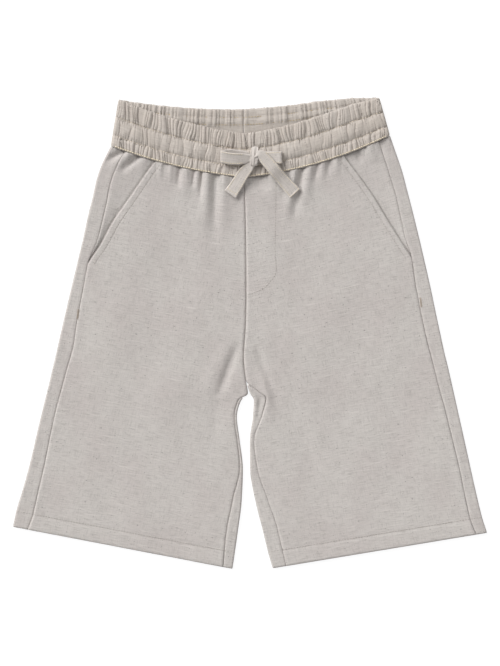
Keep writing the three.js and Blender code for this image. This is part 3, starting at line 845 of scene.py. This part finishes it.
class Cover:
    """Heights of the visible top surfaces, to lay stitches on."""

    def __init__(self, grids):
        points = np.concatenate([grid.reshape(-1, 3) for grid in grids])
        self.points = points
        self.tree = KDTree(len(points))
        for i, (x, y, _) in enumerate(points):
            self.tree.insert((x, y, 0), i)
        self.tree.balance()

    def height(self, x, y):
        near = self.tree.find_n((x, y, 0), COVER_NEIGHBOURS)
        return max(self.points[i][2] for _, i, _ in near)


def along_route(route, step):
    """Points a step apart along a route through the given points, with the direction there."""
    route = np.asarray(route, float)
    t = np.linspace(0, len(route) - 1, 40 * len(route))
    line = np.stack([catmull(route[:, k], t) for k in range(2)], -1)
    length = np.concatenate([[0], np.cumsum(np.linalg.norm(np.diff(line, axis=0), axis=1))])
    at = np.arange(step / 2, length[-1], step)
    place = np.stack([np.interp(at, length, line[:, k]) for k in range(2)], -1)
    ahead = np.stack([np.interp(at + 0.4, length, line[:, k]) for k in range(2)], -1)
    direction = ahead - place
    return place, direction / np.maximum(np.linalg.norm(direction, axis=1, keepdims=True), 1e-9)


def stitches(name, routes, cover, material, step=2.7, long=2.0, thick=0.32, lift=0.45):
    """Rows of short threads along routes, as one mesh. Its random draws go by its name's length."""
    random = np.random.default_rng(len(name))
    points, quads, uvs = [], [], []
    for route in routes:
        places, directions = along_route(route, step)
        for (x, y), (dx, dy) in zip(places, directions):
            angle = math.atan2(dy, dx) + random.normal(0, 0.06)
            half = long / 2 * random.uniform(0.85, 1.08)
            z = cover.height(x, y) + lift
            base = len(points)
            for share, size in STITCH_RINGS:
                for k in range(STITCH_SIDES):
                    turn = 2 * math.pi * k / STITCH_SIDES
                    side = thick / 2 * size * math.cos(turn)
                    rise = thick / 2 * size * math.sin(turn) - 0.12 * share * share
                    px = x + half * share * math.cos(angle) - side * math.sin(angle)
                    py = y + half * share * math.sin(angle) + side * math.cos(angle)
                    points.append((px * MM, py * MM, (z + rise) * MM))
                    uvs.append((share * half * MM, turn * thick * MM))
            ring = quads_of(len(STITCH_RINGS), STITCH_SIDES, wrap=True) + base
            end = base + (len(STITCH_RINGS) - 1) * STITCH_SIDES
            quads.extend(ring.tolist())
            quads.extend([[base, base + 3, base + 2, base + 1], [base, base + 5, base + 4, base + 3]])
            quads.extend([[end, end + 1, end + 2, end + 3], [end, end + 3, end + 4, end + 5]])
    return make_mesh(name, np.array(points), np.array(quads), np.array(uvs), material)


def rows_at(side, t, distance_of):
    """A route across or down a leg: plan points at row numbers t."""
    s = sections(side, np.asarray(t, float))
    distance = distance_of(s)[:, None]
    x, y = plan(s, distance, 0.0)
    return np.concatenate([x, y], 1)


def hem_route(side):
    """The row of stitches that holds up the hem."""
    s = sections(side, np.array([float(HEM_ROW)]))
    shares = np.linspace(0.004, 0.996, 24)
    x, y = plan(s, s["length"][:, None] * shares, 0.0)
    return np.stack([x[0], y[0]], -1)


def band_route(up, column=1, under=0.0, ends=(-128, 129)):
    """A line along the waistband at a share of its height: the front's, or the back's."""
    x = np.linspace(*ends, 60)
    table = np.array(BAND_HEIGHTS)
    tall = np.interp(x, table[:, 0], table[:, column])
    lean = np.where(x < 0, BAND_LEAN["right"], BAND_LEAN["left"])
    y = waist_edge(x, under) + BAND_GAP + up * tall
    return np.stack([x * (1 - lean * up), y], -1)


# Stretches of each strand that carry edge stitching: the top of the loop, and the tail.
STITCHED = {"right": [(62, 100), (146, 180)], "left": [(60, 94), (137, 180)]}


def tie_routes(rings, side):
    """Stitch lines along both edges of a tie's visible stretches, and across its end."""
    routes = []
    for first, last in STITCHED[side]:
        edges = [rings[first:last:6, k, :2] for k in (0, len(rings[0]) // 2)]
        middle = (edges[0] + edges[1]) / 2
        edges = [middle + (edge - middle) * 0.8 for edge in edges]
        routes.extend(edges)
    routes.append(np.array([edges[0][-1], middle[-1], edges[1][-1]]))
    return routes


# The fly's stitching, and both ends of the bartack on each side seam.
FLY = [(24.8, 146), (24.2, 110), (23.8, 76), (24.7, 58), (19, 48.5), (11.2, 41.3), (-1.5, 36.4)]
TACK_THREADS = 9
BARTACKS = [(-162.8, 22, -163.6, 14), (161.6, 33, 162.6, 25)]

# ---- Assembly ----


def keep(piece, slot, *nodes):
    """Attaches a piece to the one body and hides the nodes that it stands for. The slot is not used."""
    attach(piece, "root")
    if nodes:
        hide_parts(*nodes)


wrap = knot()
keep(wrap, "tie", "drawstring_knot")
tie_rows = []
tie_surfaces = []
for side in ("right", "left"):
    tie, path, rings = strand(side)
    tie_surfaces.extend(rings[first:last] for first, last in STITCHED[side])
    tie_rows.extend(tie_routes(rings, side))
    keep(tie, "tie", f"drawstring_loop_{side}", f"drawstring_tail_{side}")

tops = []
for side in ("right", "left"):
    for make, node in ((front, "front"), (back, "back"), (facing, "pocket_facing")):
        piece, points = make(side)
        name = f"{node}_{side}"
        keep(piece, "cloth", name)
        if node == "front":
            tops.append(points)
        elif node == "back":
            tops.append(points[:, : WRAP_COLUMNS + 2])
            tops.append(points[:, -WRAP_COLUMNS:])

band_piece, band_points, band_up = band()
keep(band_piece, "band", "waistband")

keep(stitches("stitches_tie", tie_rows, Cover(tie_surfaces), CREAM_THREAD, 2.1, 1.9, 0.5, 0.15), "tie")
body_cover = Cover(tops)
band_cover = Cover([band_points[:, band_up > 0.9]])
inner_cover = Cover([band_points[:, band_up < -0.9]])

body_rows = [FLY, hem_route("right"), hem_route("left")]
for side in ("right", "left"):
    mouth = np.linspace(0.15, POCKET_ROWS - 1, 24)
    body_rows.append(rows_at(side, mouth, lambda s: s["mouth"] + POCKET_STITCH))
keep(stitches("stitches_body", body_rows, body_cover, BODY_THREAD, thick=0.45), "cloth")
on_band = BAND_WALL / 2
channel_rows = [band_route(up) for up in CHANNEL]
keep(stitches("stitches_channel", channel_rows, band_cover, CREAM_THREAD, lift=on_band), "band")
edge_row = [band_route(0.03)]
edge = stitches("stitches_band_edge", edge_row, band_cover, CREAM_THREAD, 2.4, 2.2, 1.1, on_band)
keep(edge, "band")
inner_rows = [band_route(up, 2, 1.0, (-118, 120)) for up in INNER_ROWS]
keep(stitches("stitches_inside", inner_rows, inner_cover, OCHRE_THREAD, thick=0.5, lift=1.5), "band")
tacks = []
for ax, ay, bx, by in BARTACKS:
    for share in np.linspace(0, 1, TACK_THREADS):
        x, y = ax + (bx - ax) * share, ay + (by - ay) * share
        tacks.append([(x - 1.1, y - 0.3), (x, y), (x + 1.1, y + 0.3)])
keep(stitches("bartacks", tacks, body_cover, TAN_THREAD, 2.2, 2.1, 0.5, 0.5), "cloth")

# ---- Floor and light ----

FLOOR_SIZE = 6.0
FLOOR_GLOW = 0.78  # share of the floor's look that is plain white


def floor():
    """A pale floor that is white to the camera and keeps some of the shadow."""
    half = FLOOR_SIZE / 2
    points = np.array([(-half, -half, 0), (half, -half, 0), (half, half, 0), (-half, half, 0)], float)
    n = Nodes("floor_white")
    tree = n.tree
    paths = n.add("ShaderNodeLightPath").outputs
    seen = n.math("MAXIMUM", paths["Is Camera Ray"], paths["Is Glossy Ray"])
    seen = n.math("MAXIMUM", seen, paths["Is Transmission Ray"])
    glow = n.add("ShaderNodeEmission", {"Color": (1, 1, 1, 1), "Strength": 1.15})
    matt = n.add("ShaderNodeBsdfDiffuse", {"Color": (0.86, 0.86, 0.86, 1)})
    share = n.math("MULTIPLY", seen, FLOOR_GLOW)
    white = n.add("ShaderNodeMixShader", {0: share, 1: matt.outputs[0], 2: glow.outputs[0]})
    tree.links.new(white.outputs[0], tree.nodes["Material Output"].inputs["Surface"])
    mesh = bpy.data.meshes.new("floor")
    mesh.from_pydata(points.tolist(), [], [(0, 1, 2, 3)])
    mesh.materials.append(n.material)
    sheet = bpy.data.objects.new("floor", mesh)
    sheet.location.z = -0.0003
    bpy.context.collection.objects.link(sheet)


def sun(name, place, softness, power):
    """A sun that shines from the direction of a place, as wide as the softness in radians."""
    data = bpy.data.lights.new(name, "SUN")
    data.angle = softness
    data.energy = power
    lamp = bpy.data.objects.new(name, data)
    lamp.rotation_euler = Vector(place).to_track_quat("Z", "Y").to_euler()
    bpy.context.collection.objects.link(lamp)


floor()
sun("key", (-1.15, 1.0, 0.95), 0.6, 3.25)
sun("fill", (0.9, -0.8, 1.6), 0.9, 0.35)
world = bpy.data.worlds.new("studio")
world.use_nodes = True
world.node_tree.nodes["Background"].inputs["Color"].default_value = (1, 1, 1, 1)
world.node_tree.nodes["Background"].inputs["Strength"].default_value = 0.36
bpy.context.scene.world = world
